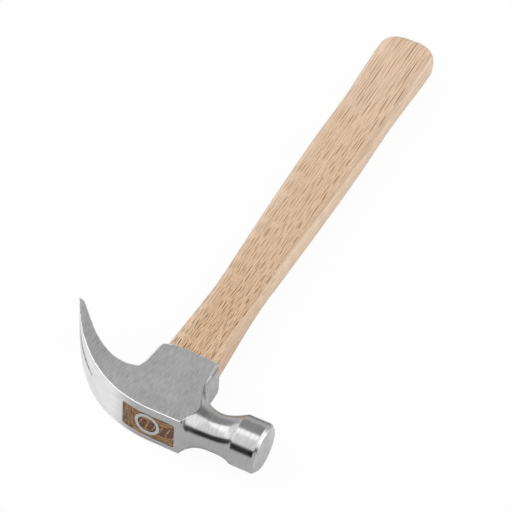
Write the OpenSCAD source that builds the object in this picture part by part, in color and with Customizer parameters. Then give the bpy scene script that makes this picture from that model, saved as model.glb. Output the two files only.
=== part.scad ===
// Curved claw hammer with a beech handle, lying on one cheek.
// X points to the striking face, Y to the butt of the handle, Z up.
// Before the last shift the handle's axis is the line x = 0, z = 0,
// and the flat of the crown is at y = 0.

/* [Body and skirt] */
// Across the two flat cheeks
cheek_across = 20.2; // [19.4:0.2:21.4]
// Crown to the lower edge of the skirt
body_tall = 34.5; // [32:0.5:38]
// How far the skirt's lower edge bows down in the middle
skirt_bow = 0.6; // [0.2:0.1:1.5]
// Handle axis to the middle of the skirt's front
skirt_front = 14.9; // [14.3:0.1:15.5]
// Handle axis to the end of the flat cheek at the skirt's front
cheek_front = 13; // [12.6:0.1:13.6]
// Handle axis to the back of the skirt at its lower edge
skirt_back = 11.9; // [11.6:0.1:12.6]
// How far the back of the skirt leans out towards the claw
skirt_lean = 6.5; // [3:0.5:9]
// Rounding of the upright edges at the back of the skirt
skirt_edge = 1.6; // [0.6:0.2:2.4]
// How much higher the skirt's lower edge ends at the back
skirt_rise = 0.5; // [0:0.1:1]
// Rounding of the skirt's lower corners
skirt_corner = 2.2; // [1:0.2:3]

/* [Neck and poll] */
// Crown to the axis of the poll
poll_below = 11.1; // [10.7:0.1:11.6]
// Diameter of the poll
poll_d = 21.1; // [19.5:0.1:22]
// Handle axis to the striking face
face_reach = 46.2; // [44:0.2:52]
// Length of the straight part of the poll, with its edge
poll_len = 11; // [8:0.2:12.6]
// Width of the edge ring around the striking face
face_edge = 1.1; // [0.5:0.1:2]
// Diameter of the thinnest part of the neck
neck_d = 15.8; // [13:0.1:17]
// Handle axis to the thinnest part of the neck
neck_reach = 24.8; // [24:0.2:26]
// Crown to the middle of the neck
neck_below = 9.6; // [9.2:0.1:11]

/* [Claw] */
// Handle axis to the tips of the claw
claw_reach = 53.3; // [50:0.1:58]
// Crown to the tips of the claw
claw_drop = 38.6; // [36:0.2:42]
// Slope of the claw's back at the tips
claw_slope = 60; // [52:1:63]
// Across both claws at the tips
claw_tip_across = 18.1; // [16:0.1:20]
// How much the claws bulge sideways beyond the cheeks
claw_bulge = 0.7; // [0:0.1:1.2]
// Crown to the throat under the claw
throat_below = 17.7; // [16.8:0.1:18.6]
// Length of the oblique cut at the tips
tip_cut = 3.3; // [2.5:0.1:4.5]
// Length of the nail slot along the claw
slot_len = 34.5; // [28:0.5:36]
// Width of the nail slot at the tips
slot_wide = 6.4; // [5.6:0.1:7.2]
// Width of the nail slot at its root
slot_root = 0.8; // [0.5:0.1:1.2]

/* [Eye] */
// Length of the eye at the crown
eye_len = 23.4; // [22.4:0.1:24]
// Width of the eye at the crown
eye_wide = 12.8; // [12.2:0.1:13]
// How much shorter the eye is below its waist
eye_len_drop = 2.8; // [2.2:0.1:3.4]
// How much narrower the eye is below its waist
eye_wide_drop = 1; // [0.4:0.1:1.2]
// Crown to the waist of the eye
eye_waist = 18; // [16:0.5:22]
// Rounding of the eye's corners
eye_corner = 1.6; // [1:0.1:2.5]

/* [Handle] */
// Crown to the butt of the handle
handle_end = 263.5; // [230:0.5:320]
// Width of the handle at the skirt
shoulder_wide = 23.7; // [22.8:0.1:24.6]
// Width of the handle at its waist
waist_wide = 21.2; // [19:0.1:23]
// Width of the handle in the middle of the grip
swell_wide = 25.9; // [23:0.1:29]
// Width of the handle behind the grip
dip_wide = 25.6; // [23:0.1:29]
// Width of the handle at the flare before the butt
flare_wide = 27.7; // [24:0.1:31]
// Thickness of the handle at the skirt
shoulder_thick = 16.1; // [15:0.1:17]
// Thickness of the handle at its waist
waist_thick = 14.4; // [13:0.1:16]
// Thickness of the handle in the middle of the grip
swell_thick = 17.6; // [15.5:0.1:19]
// Thickness of the handle behind the grip
dip_thick = 17.4; // [15.5:0.1:19]
// Thickness of the handle at the flare before the butt
flare_thick = 18.8; // [16:0.1:19.8]
// Squareness of the section at the skirt: 2 is an oval
shoulder_square = 4; // [3:0.1:5]
// Squareness of the section along the grip: 2 is an oval
grip_square = 2.9; // [2:0.1:4]
// Length of the rounded end at the butt
butt_round = 10; // [7:0.5:18]

/* [Wedges] */
// Thickness of the wooden wedge at the crown
wedge_thick = 5.2; // [4.4:0.1:5.8]
// Thickness of the wooden wedge at its thin end
wedge_thin = 1.2; // [0.8:0.1:2]
// Depth of the wooden wedge in the eye
wedge_deep = 24; // [20:1:28]
// Outer diameter of the ring wedge at the crown
ring_d = 11.4; // [10.8:0.1:11.5]
// Inner diameter of the ring wedge
ring_hole = 8.3; // [7.6:0.1:8.6]
// Depth of the ring wedge
ring_deep = 12; // [9:0.5:15]
// Wall of the ring wedge at its thin end
ring_thin = 0.7; // [0.5:0.1:1]
// Ring wedge off the handle axis, towards the claw
ring_off = 0.3; // [0:0.1:1.5]

/* [Fits] */
// Gap around wood in the eye and around the wedges
fit_gap = 0.05; // [0.03:0.01:0.12]

/* [Hidden] */
$fn = 96;
cheek = cheek_across / 2;
skirt_y = body_tall - skirt_bow;
// The crown is flat to here, then it runs on into the claw's back
crown_flat = 2;
crown_front = cheek_front + 0.7;
// Pull of the claw's back curve at the tips
back_pull = 25.5;
claw_back = [
    [crown_flat, 0],
    [-claw_reach / 2 + 1.1, 0],
    [-claw_reach + back_pull * cos(claw_slope), claw_drop - back_pull * sin(claw_slope)],
    [-claw_reach, claw_drop]
];
tip_in = [-claw_reach + 0.89 * tip_cut, claw_drop - 0.46 * tip_cut];
throat = [-skirt_back - 1.95, throat_below];
// Pull of the claw's inner curve at the tips and at the throat
inner_pull = [4.9, -3.3];
throat_pull = [-16.3, -6.9];
claw_inner = [tip_in, tip_in + inner_pull, throat + throat_pull, throat];
// Where the claw's block ends and the skirt's block goes on
join_y = throat_below + 1;
join_x = -skirt_back - (skirt_y - join_y) * tan(skirt_lean);
// The neck flares out to this radius just in front of the flat cheek
flare_root = 18.7;
flare_pull = 8;
flare_x = cheek_front + 0.3;
// Length over which the neck's middle moves up from the poll's axis
flare_len = 4.5;
neck_curve = [
    [flare_x, flare_root],
    [flare_x, flare_root - flare_pull],
    [neck_reach - 5, neck_d / 2],
    [neck_reach, neck_d / 2]
];
poll_back = face_reach - poll_len;
// The neck's end is this much thinner than the poll and runs this far into it
neck_tuck = 0.06;
neck_in = 1;
poll_curve = [
    [neck_reach, neck_d / 2],
    [neck_reach + 4, neck_d / 2],
    [poll_back - 3, poll_d / 2 - 1.7],
    [poll_back, poll_d / 2 - neck_tuck]
];
tip_half = claw_tip_across / 2;
claw_plan = [
    [-claw_reach, tip_half],
    [-claw_reach * 0.74, cheek + claw_bulge + 1.6],
    [-claw_reach / 2 + 1, cheek],
    [join_x, cheek]
];
front_plan = [
    [cheek_front, cheek],
    [skirt_front - 0.4, cheek - 2.1],
    [skirt_front, cheek * 0.4],
    [skirt_front, 0]
];
lowest = max(poll_d / 2, max([for (p = cubic(claw_plan, 20)) p[1]]));
slim_len = eye_len - eye_len_drop;
slim_wide = eye_wide - eye_wide_drop;
shoulder = body_tall + fit_gap;
grip_len = handle_end - shoulder;
// Half the handle's width and thickness at its waist, and how they grow to the swell
waist_half = [waist_wide, waist_thick] / 2;
swell_half = [swell_wide, swell_thick] / 2;
swell_rise = swell_half - waist_half;
flare_half = [flare_wide, flare_thick] / 2;
// Each mark is its place along the handle, then half the width and thickness there
handle_marks = [
    [shoulder, [shoulder_wide, shoulder_thick] / 2],
    [shoulder + 0.188 * grip_len, waist_half],
    [shoulder + 0.295 * grip_len, waist_half + 0.29 * swell_rise],
    [shoulder + 0.445 * grip_len, waist_half + 0.71 * swell_rise],
    [shoulder + 0.62 * grip_len, swell_half],
    [shoulder + 0.77 * grip_len, [dip_wide, dip_thick] / 2],
    [shoulder + 0.92 * grip_len, flare_half],
    [handle_end, flare_half]
];
waist_y = handle_marks[1][0];
centre_x = (face_reach - claw_reach) / 2;

// Points of a cubic curve from its four control points
function cubic(p, n = 28) = [
    for (i = [0:n])
        let (t = i / n, s = 1 - t)
        s * s * s * p[0] + 3 * s * s * t * p[1] + 3 * s * t * t * p[2] + t * t * t * p[3]
];

// Points of an arc
function arc(c, r, from, to, n = 8) = [
    for (i = [0:n])
        let (a = from + (to - from) * i / n)
        c + r * [cos(a), sin(a)]
];

// A list the other way round
function reversed(l) = [for (i = [len(l) - 1:-1:0]) l[i]];

// A list without its first entry
function without_first(l) = [for (i = [1:len(l) - 1]) l[i]];

// From 0 to 1 with level ends
function ease(t) =
    let (u = min(max(t, 0), 1))
    u * u * (3 - 2 * u);

// Slope of the handle's half sizes at one mark
function mark_slope(k) =
    let (a = handle_marks[max(k - 1, 0)], b = handle_marks[min(k + 1, len(handle_marks) - 1)])
    (b[1] - a[1]) / (b[0] - a[0]);

// Half sizes of the handle between two marks
function half_between(k, t) =
    let (a = handle_marks[k], b = handle_marks[k + 1], d = b[0] - a[0], s = 1 - t)
    s * s * (1 + 2 * t) * a[1] + t * t * (3 - 2 * t) * b[1]
    + s * s * t * d * mark_slope(k) - t * t * s * d * mark_slope(k + 1);

// Half sizes of the handle at y, with the rounded butt
function half_sizes(y) =
    let (
        k = max([for (i = [0:len(handle_marks) - 2]) handle_marks[i][0] <= y ? i : 0]),
        t = (y - handle_marks[k][0]) / (handle_marks[k + 1][0] - handle_marks[k][0]),
        e = max(0, (y - handle_end + butt_round) / butt_round)
    )
    half_between(k, min(t, 1)) * sqrt(max(1 - e * e, 0));

// One section of the handle
function section(y, n) =
    let (
        half = half_sizes(y),
        square = shoulder_square + (grip_square - shoulder_square) * ease((y - shoulder) / (waist_y - shoulder))
    )
    [for (i = [0:n - 1])
        let (c = cos(360 * i / n), s = sin(360 * i / n))
        [half[0] * sign(s) * pow(abs(s), 2 / square), y, half[1] * sign(c) * pow(abs(c), 2 / square)]];

// One section of the eye: a rounded rectangle, smaller by the trim all round
function eye_section(y, len, wide, trim) =
    let (x = len / 2 - eye_corner, z = wide / 2 - eye_corner, r = eye_corner - trim)
    [for (q = [[z, x, 0], [-z, x, 90], [-z, -x, 180], [z, -x, 270]])
        each [for (p = arc([q[0], q[1]], r, q[2], q[2] + 90, 6)) [p[1], y, p[0]]]];

// How far the neck's middle has moved from the poll's axis at x
function neck_shift(x) =
    x < neck_reach
    ? ease((x - cheek_front) / flare_len)
    : 1 - ease((x - neck_reach) / (poll_back - neck_reach));

// A closed skin over sections with equal numbers of points
module loft(sections) {
    n = len(sections[0]);
    rows = len(sections);
    sides = [for (r = [0:rows - 2], i = [0:n - 1])
        [r * n + i, (r + 1) * n + i, (r + 1) * n + (i + 1) % n, r * n + (i + 1) % n]];
    ends = [[for (i = [0:n - 1]) i], [for (i = [n - 1:-1:0]) (rows - 1) * n + i]];
    polyhedron([for (s = sections) each s], concat(sides, ends));
}

// Claws and crown as seen on the cheek
module claw_side() {
    polygon(concat(
        [[crown_front, 0]],
        cubic(claw_back),
        cubic(claw_inner),
        [[join_x, join_y], [crown_front, join_y]]
    ));
}

// Skirt as seen on the cheek
module skirt_side() {
    r = skirt_corner;
    polygon(concat(
        [[-skirt_back - 8, throat_below], [-skirt_back - 8, skirt_y - skirt_rise - r]],
        arc([-skirt_back + r - 0.2, skirt_y - skirt_rise - r], r, 180, 100),
        [[0, body_tall]],
        arc([skirt_front - r, skirt_y - r], r, 80, 0),
        [[skirt_front, throat_below]]
    ));
}

// Head as seen on the crown
module head_plan() {
    half = concat(cubic(claw_plan, 20), cubic(front_plan, 10));
    polygon(concat(half, [for (p = reversed(half)) [p[0], -p[1]]]));
}

// A shape in x and z, upright through the whole head
module through_head() {
    translate([0, body_tall + 10, 0])
        rotate([90, 0, 0])
        linear_extrude(body_tall + 20)
        children();
}

// Claws and the upper part of the body
module claws() {
    intersection() {
        translate([0, 0, -2 * cheek])
            linear_extrude(4 * cheek)
            claw_side();
        through_head()
            head_plan();
    }
}

// Skirt with its leaning back
module skirt() {
    r = skirt_edge;
    intersection() {
        translate([0, 0, -cheek])
            linear_extrude(cheek_across)
            skirt_side();
        through_head()
            head_plan();
        translate([-skirt_back, skirt_y, 0])
            rotate([0, 0, -skirt_lean])
            translate([0, 15, 0])
            rotate([90, 0, 0])
            linear_extrude(60)
            union() {
                translate([r, -cheek])
                    square([60, cheek_across]);
                translate([0, -cheek + r])
                    square([60, cheek_across - 2 * r]);
                for (z = [-cheek + r, cheek - r])
                    translate([r, z])
                        circle(r);
            }
    }
}

// The neck flares out into the body, between the cheeks and under the crown
module neck() {
    n = 64;
    line = concat(
        [[2, flare_root]],
        cubic(neck_curve, 18),
        without_first(cubic(poll_curve, 14)),
        [[poll_back + neck_in, poll_d / 2 - 2 * neck_tuck]]
    );
    intersection() {
        loft([for (p = line)
            let (y = poll_below + (neck_below - poll_below) * neck_shift(p[0]))
            [for (i = [0:n - 1]) [p[0], y + p[1] * cos(360 * i / n), p[1] * sin(360 * i / n)]]]);
        union() {
            translate([0, 0, -cheek])
                cube([neck_reach, skirt_y - skirt_corner, cheek_across]);
            translate([neck_reach - 1, -10, -2 * cheek])
                cube([poll_len + 20, 50, 4 * cheek]);
        }
    }
}

// Poll with its striking face
module poll() {
    translate([poll_back, poll_below, 0])
        rotate([0, 90, 0]) {
            cylinder(h = poll_len - face_edge, d = poll_d);
            translate([0, 0, poll_len - face_edge])
                cylinder(h = face_edge, d1 = poll_d, d2 = poll_d - 2 * face_edge);
        }
}

// The eye: widest at the crown, waisted, then straight to the skirt
module eye(trim, over) {
    long = eye_len + eye_len_drop * over / eye_waist;
    wide = eye_wide + eye_wide_drop * over / eye_waist;
    loft([
        eye_section(-over, long, wide, trim),
        eye_section(eye_waist, slim_len, slim_wide, trim),
        eye_section(shoulder + over, slim_len, slim_wide, trim)
    ]);
}

// Nail slot: a long V through both faces of the claw
module nail_slot() {
    tip = claw_back[3];
    root = cubic(claw_back)[12];
    lean = atan2(tip[1] - root[1], root[0] - tip[0]);
    past = 8;
    widen = past * (slot_wide - slot_root) / 2 / slot_len;
    // Deep enough for the whole claw, and short of the skirt
    deep = 0.6 * slot_len;
    translate([tip[0], tip[1], 0])
        rotate([0, 0, -lean])
        translate([0, deep, 0])
        rotate([90, 0, 0])
        linear_extrude(2 * deep)
        union() {
            polygon([
                [-past, slot_wide / 2 + widen],
                [slot_len, slot_root / 2],
                [slot_len, -slot_root / 2],
                [-past, -slot_wide / 2 - widen]
            ]);
            translate([slot_len, 0])
                circle(slot_root / 2, $fn = 24);
        }
}

// Everything below the crown, to finish the wood and the wedges level with it
module under_crown() {
    translate([0, 0, -cheek])
        linear_extrude(cheek_across)
        polygon(concat(
            [[face_reach, 0]],
            cubic(claw_back),
            [[-claw_reach, handle_end], [face_reach, handle_end]]
        ));
}

// The wooden wedge's own shape, larger by the gap
module wedge_shape(gap) {
    top = wedge_thick / 2 + gap;
    thin = wedge_thin / 2 + gap;
    slope = (top - thin) / wedge_deep;
    rotate([90, 0, 90])
        translate([0, 0, -eye_len])
        linear_extrude(2 * eye_len)
        polygon([
            [-1, top + slope],
            [wedge_deep + gap, thin],
            [wedge_deep + gap, -thin],
            [-1, -top - slope]
        ]);
}

// The ring wedge's own shape, larger by the gap
module ring_shape(gap) {
    outer = ring_d / 2 + gap;
    inner = ring_hole / 2 - gap;
    translate([-ring_off, 0, 0])
        rotate([-90, 0, 0])
        rotate_extrude()
        polygon([
            [inner, -1],
            [outer, -1],
            [outer, 0.5],
            [ring_hole / 2 + ring_thin + gap, ring_deep + gap],
            [inner, ring_deep + gap]
        ]);
}

// Handle outside the head
module grip() {
    n = 48;
    round_y = handle_end - butt_round;
    ys = concat(
        [for (i = [0:44]) shoulder + (round_y - shoulder) * i / 44],
        [for (i = [1:14]) round_y + butt_round * sin(89 * i / 14)]
    );
    loft([for (y = ys) section(y, n)]);
}

// Bench at z = 0 under the middle of the hammer
module on_bench() {
    translate([-centre_x, -handle_end / 2, lowest])
        children();
}

module hammer_head() {
    color("silver")
        on_bench()
        difference() {
            union() {
                claws();
                skirt();
                neck();
                poll();
            }
            eye(0, 2);
            nail_slot();
        }
}

module handle() {
    color("burlywood")
        on_bench()
        difference() {
            union() {
                intersection() {
                    eye(fit_gap, 0.4);
                    under_crown();
                }
                grip();
            }
            wedge_shape(fit_gap);
            ring_shape(fit_gap);
        }
}

module wood_wedge() {
    color("saddlebrown")
        on_bench()
        difference() {
            intersection() {
                wedge_shape(0);
                eye(fit_gap, 0.4);
                under_crown();
            }
            ring_shape(fit_gap);
        }
}

module ring_wedge() {
    color("gainsboro")
        on_bench()
        intersection() {
            ring_shape(0);
            under_crown();
        }
}

hammer_head();
handle();
wood_wedge();
ring_wedge();
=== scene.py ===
import logging
import math
from dataclasses import dataclass
from enum import Enum
from typing import Any, Callable, Optional, Sequence, Union

import bpy
import numpy as np
from mathutils import Matrix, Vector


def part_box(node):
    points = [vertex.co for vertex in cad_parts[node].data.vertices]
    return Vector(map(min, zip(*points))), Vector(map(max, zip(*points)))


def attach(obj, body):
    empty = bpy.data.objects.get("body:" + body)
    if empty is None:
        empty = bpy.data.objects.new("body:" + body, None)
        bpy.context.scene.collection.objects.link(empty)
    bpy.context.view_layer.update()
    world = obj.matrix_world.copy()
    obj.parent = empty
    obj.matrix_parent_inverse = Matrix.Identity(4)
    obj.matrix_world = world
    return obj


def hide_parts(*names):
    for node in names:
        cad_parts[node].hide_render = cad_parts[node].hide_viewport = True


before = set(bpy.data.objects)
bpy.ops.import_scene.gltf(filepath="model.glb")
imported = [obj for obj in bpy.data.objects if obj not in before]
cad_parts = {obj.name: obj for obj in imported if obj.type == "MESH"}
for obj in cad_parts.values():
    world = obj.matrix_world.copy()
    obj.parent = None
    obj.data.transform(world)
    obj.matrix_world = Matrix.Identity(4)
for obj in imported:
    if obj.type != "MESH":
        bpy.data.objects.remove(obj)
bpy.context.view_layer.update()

MM = 0.001
TINY = 1e-6
NOISE_LEVEL = 0.5
log = logging.getLogger("hammer")

Array = np.ndarray
Field = Callable[[Array, Array, Array], Array]
Colour = tuple[float, float, float, float]
Point = tuple[float, float, float]
Span = tuple[float, float]
Box = tuple[Point, Point]


class Zone(Enum):
    """Finishes that one piece can show, in the order of its material slots."""

    SIDE_GRAIN = 0
    END_GRAIN = 1


def tone(code: str) -> Colour:
    """A screen colour as the linear colour that shaders take.

    Args:
        code: Six hexadecimal digits, red, green and blue.

    Returns:
        Linear red, green, blue and full opacity.
    """
    parts = [int(code[k:k + 2], 16) / 255 for k in (0, 2, 4)]
    red, green, blue = (c / 12.92 if c <= 0.04045 else ((c + 0.055) / 1.055) ** 2.4 for c in parts)
    return (red, green, blue, 1.0)


class Wire:
    """A shader socket that takes part in Python sums."""

    def __init__(self, bench: "Bench", socket: bpy.types.NodeSocket) -> None:
        """Keeps the socket and the node tree that it belongs to."""
        self.bench = bench
        self.socket = socket

    def __add__(self, other: "Value") -> "Wire":
        """The sum of two values."""
        return self.bench.maths("ADD", self, other)

    __radd__ = __add__

    def __sub__(self, other: "Value") -> "Wire":
        """This value less another."""
        return self.bench.maths("SUBTRACT", self, other)

    def __rsub__(self, other: "Value") -> "Wire":
        """Another value less this one."""
        return self.bench.maths("SUBTRACT", other, self)

    def __mul__(self, other: "Value") -> "Wire":
        """The product of two values."""
        return self.bench.maths("MULTIPLY", self, other)

    __rmul__ = __mul__

    def __truediv__(self, other: "Value") -> "Wire":
        """This value over another."""
        return self.bench.maths("DIVIDE", self, other)

    def __rtruediv__(self, other: "Value") -> "Wire":
        """Another value over this one."""
        return self.bench.maths("DIVIDE", other, self)

    def __abs__(self) -> "Wire":
        """The value without its sign."""
        return self.bench.maths("ABSOLUTE", self)


Value = Union[Wire, float]


class Bench:
    """A node tree, with short ways to wire it."""

    def __init__(self, tree: bpy.types.NodeTree) -> None:
        """Clears the tree and keeps it."""
        tree.nodes.clear()
        self.tree = tree

    def add(
        self,
        kind: str,
        settings: Optional[dict[str, Any]] = None,
        inputs: Optional[dict[Any, Any]] = None,
        output: Union[int, str] = 0,
    ) -> Optional[Wire]:
        """Adds one node.

        Args:
            kind: The node's type.
            settings: The node's own properties, which are set first.
            inputs: Values or wires for its sockets, by name or number.
            output: The socket that is handed on, by name or number.

        Returns:
            The chosen output, or None where the node has no outputs.
        """
        node = self.tree.nodes.new(kind)
        for name, value in (settings or {}).items():
            setattr(node, name, value)
        for key, value in (inputs or {}).items():
            if isinstance(value, Wire):
                self.tree.links.new(value.socket, node.inputs[key])
            else:
                node.inputs[key].default_value = value
        return Wire(self, node.outputs[output]) if node.outputs else None

    def maths(self, operation: str, *values: Value) -> Wire:
        """A Math node on one, two or three values."""
        return self.add("ShaderNodeMath", {"operation": operation}, dict(enumerate(values)))

    def vector(self, operation: str, *values: Any) -> Wire:
        """A Vector Math node on one or two vectors."""
        return self.add("ShaderNodeVectorMath", {"operation": operation}, dict(enumerate(values)))

    def dot(self, a: Any, b: Any) -> Wire:
        """The dot product of two vectors."""
        return self.add("ShaderNodeVectorMath", {"operation": "DOT_PRODUCT"}, {0: a, 1: b}, "Value")

    def greater(self, a: Value, b: Value) -> Wire:
        """The greater of two values."""
        return self.maths("MAXIMUM", a, b)

    def from_whole(self, value: Value) -> Wire:
        """How far a value is from the nearest whole number."""
        return self.maths("PINGPONG", value, 0.5)

    def step(self, value: Value, low: float, high: float) -> Wire:
        """A soft step from 0 at low to 1 at high; it falls where low is above high."""
        return self.add(
            "ShaderNodeMapRange",
            {"interpolation_type": "SMOOTHSTEP"},
            {"Value": value, "From Min": low, "From Max": high},
        )

    def mix(self, factor: Value, a: Any, b: Any, how: str = "MIX") -> Wire:
        """Two colours mixed, from a at 0 to b at 1, through the node's colour sockets."""
        return self.add(
            "ShaderNodeMix",
            {"data_type": "RGBA", "blend_type": how},
            {0: factor, 6: a, 7: b},
            2,
        )

    def shaded(self, colour: Any, shade: Wire) -> Wire:
        """A colour made lighter or darker by a number."""
        return self.mix(1.0, colour, self.join(shade, shade, shade), "MULTIPLY")

    def parts(self, vector: Wire) -> tuple[Wire, Wire, Wire]:
        """The three numbers of a vector."""
        node = self.add("ShaderNodeSeparateXYZ", None, {0: vector}).socket.node
        return tuple(Wire(self, out) for out in node.outputs)

    def join(self, x: Value, y: Value, z: Value) -> Wire:
        """A vector of three numbers."""
        return self.add("ShaderNodeCombineXYZ", None, {0: x, 1: y, 2: z})

    def normal(self) -> tuple[Wire, Wire, Wire]:
        """The three numbers of the surface's own normal."""
        return self.parts(self.add("ShaderNodeTexCoord", None, None, "Normal"))

    def bump(self, height: Wire, strength: float, deep: float) -> Wire:
        """A normal bent by a height, which is so many millimetres deep."""
        sockets = {"Strength": strength, "Distance": deep * MM, "Height": height}
        return self.add("ShaderNodeBump", None, sockets)

    def surface(self, sockets: dict[str, Any]) -> None:
        """Gives the material its one shader."""
        shader = self.add("ShaderNodeBsdfPrincipled", None, sockets)
        self.add("ShaderNodeOutputMaterial", None, {"Surface": shader})


def between(span: Span, share: Wire) -> Wire:
    """From the span's first number at 0 to its second at 1."""
    return span[0] + share * (span[1] - span[0])


@dataclass(frozen=True)
class Noise:
    """Noise around NOISE_LEVEL, with a scale for each place that it depends on."""

    scales: tuple[float, ...]
    detail: float = 2.0
    rough: float = 0.5
    layer: float = 0.0

    def draw(self, b: Bench, *places: Wire) -> Wire:
        """Wires the noise.

        Args:
            b: The finish's node tree.
            places: One for each scale; where there are two, the layer is the third.

        Returns:
            The noise.
        """
        scaled = [place * scale for place, scale in zip(places, self.scales)]
        x, y, z = (scaled + [self.layer])[:3]
        sockets = {"Vector": b.join(x, y, z), "Scale": 1.0, "Detail": self.detail, "Roughness": self.rough}
        return b.add("ShaderNodeTexNoise", None, sockets)


@dataclass(frozen=True)
class Dashes:
    """Short lines with pointed ends, side by side in rows along the grain.

    Each line has its own place, length and strength within a span. Places and lengths are shares
    of a row's width and of the lines' spacing. An edge is a soft step, in half widths of a line.
    """

    apart: float
    half: float
    row_shift: float = 31.0
    across: Span = (0.35, 0.65)
    middle: Span = (0.45, 0.55)
    half_length: Span = (0.27, 0.47)
    strength: Span = (0.35, 0.95)
    line_edge: Span = (1.2, 0.5)
    pale_edge: Span = (3.4, 1.8)

    def draw(self, b: Bench, over: Wire, along: Wire) -> tuple[Wire, Wire]:
        """Wires the lines.

        Args:
            b: The finish's node tree.
            over: Place across the grain.
            along: Place along the grain, in units of the lines' spacing.

        Returns:
            How dark a line is here, and how pale the wood beside it is.
        """
        row = b.maths("FLOOR", over / self.apart)
        start = b.add("ShaderNodeTexWhiteNoise", {"noise_dimensions": "1D"}, {"W": row})
        run = along + start * self.row_shift
        spot = b.join(row, b.maths("FLOOR", run), 0.0)
        seed = b.add("ShaderNodeTexWhiteNoise", {"noise_dimensions": "2D"}, {"Vector": spot}, "Color")
        size, shift, own = b.parts(seed)
        aside = abs(b.maths("FRACT", over / self.apart) - between(self.across, shift))
        aside = aside * (self.apart / self.half)
        onward = abs(b.maths("FRACT", run) - between(self.middle, own)) / between(self.half_length, size)
        away = aside + onward * onward * onward
        line = b.step(away, *self.line_edge) * between(self.strength, own)
        return line, b.step(away, *self.pale_edge)


def cubic(points: Sequence[Sequence[float]], steps: int) -> Array:
    """Points of a cubic curve.

    Args:
        points: Its four control points.
        steps: The number of equal steps.

    Returns:
        steps + 1 points, one to a row.
    """
    p = np.asarray(points, float)
    t = np.linspace(0, 1, steps + 1)[:, None]
    s = 1 - t
    return s**3 * p[0] + 3 * s * s * t * p[1] + 3 * s * t * t * p[2] + t**3 * p[3]


def arc(centre: Sequence[float], radius: float, start: float, end: float, steps: int = 8) -> Array:
    """Points of an arc.

    Args:
        centre: Its centre.
        radius: Its radius.
        start: Its first angle, in degrees.
        end: Its last angle, in degrees.
        steps: The number of equal steps.

    Returns:
        steps + 1 points, one to a row.
    """
    a = np.radians(np.linspace(start, end, steps + 1))
    return np.asarray(centre, float) + radius * np.stack([np.cos(a), np.sin(a)], 1)


def ease(t: Array) -> Array:
    """From 0 to 1 with level ends."""
    u = np.clip(t, 0, 1)
    return u * u * (3 - 2 * u)


def mirrored(half: Array) -> Array:
    """A closed outline from the half that lies above the first axis."""
    return np.concatenate([half, (half * (1, -1))[::-1]])


def depth(outline: Array, u: Array, v: Array) -> Array:
    """Distance to a closed outline, negative inside it.

    Args:
        outline: The outline's corners, one to a row.
        u: First coordinates of the places.
        v: Second coordinates of the places.

    Returns:
        The distance at each place.
    """
    u, v = np.broadcast_arrays(np.asarray(u, np.float32), np.asarray(v, np.float32))
    least = np.full(u.shape, np.inf, np.float32)
    outside = np.ones(u.shape, bool)
    corners = np.asarray(outline, np.float32)
    for (au, av), (bu, bv) in zip(corners, np.roll(corners, -1, 0)):
        eu, ev = bu - au, bv - av
        size = eu * eu + ev * ev
        if size < TINY**2:
            continue
        wu, wv = u - au, v - av
        t = np.clip((wu * eu + wv * ev) / size, 0, 1)
        np.minimum(least, (wu - eu * t) ** 2 + (wv - ev * t) ** 2, out=least)
        up, down = v >= av, v < bv
        left = eu * wv > ev * wu
        outside ^= (up & down & left) | ~(up | down | left)
    return np.where(outside, 1, -1) * np.sqrt(least)


def both(a: Array, b: Array, edge: Any) -> Array:
    """What lies inside two fields, with the edge between them rounded."""
    return np.minimum(np.maximum(a, b), -edge) + np.hypot(np.maximum(a + edge, 0), np.maximum(b + edge, 0))


def either(a: Array, b: Array, fillet: float) -> Array:
    """What lies inside one of two fields, with the corner between them filled."""
    h = np.clip(0.5 + 0.5 * (b - a) / fillet, 0, 1)
    return b + (a - b) * h - fillet * h * (1 - h)


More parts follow.
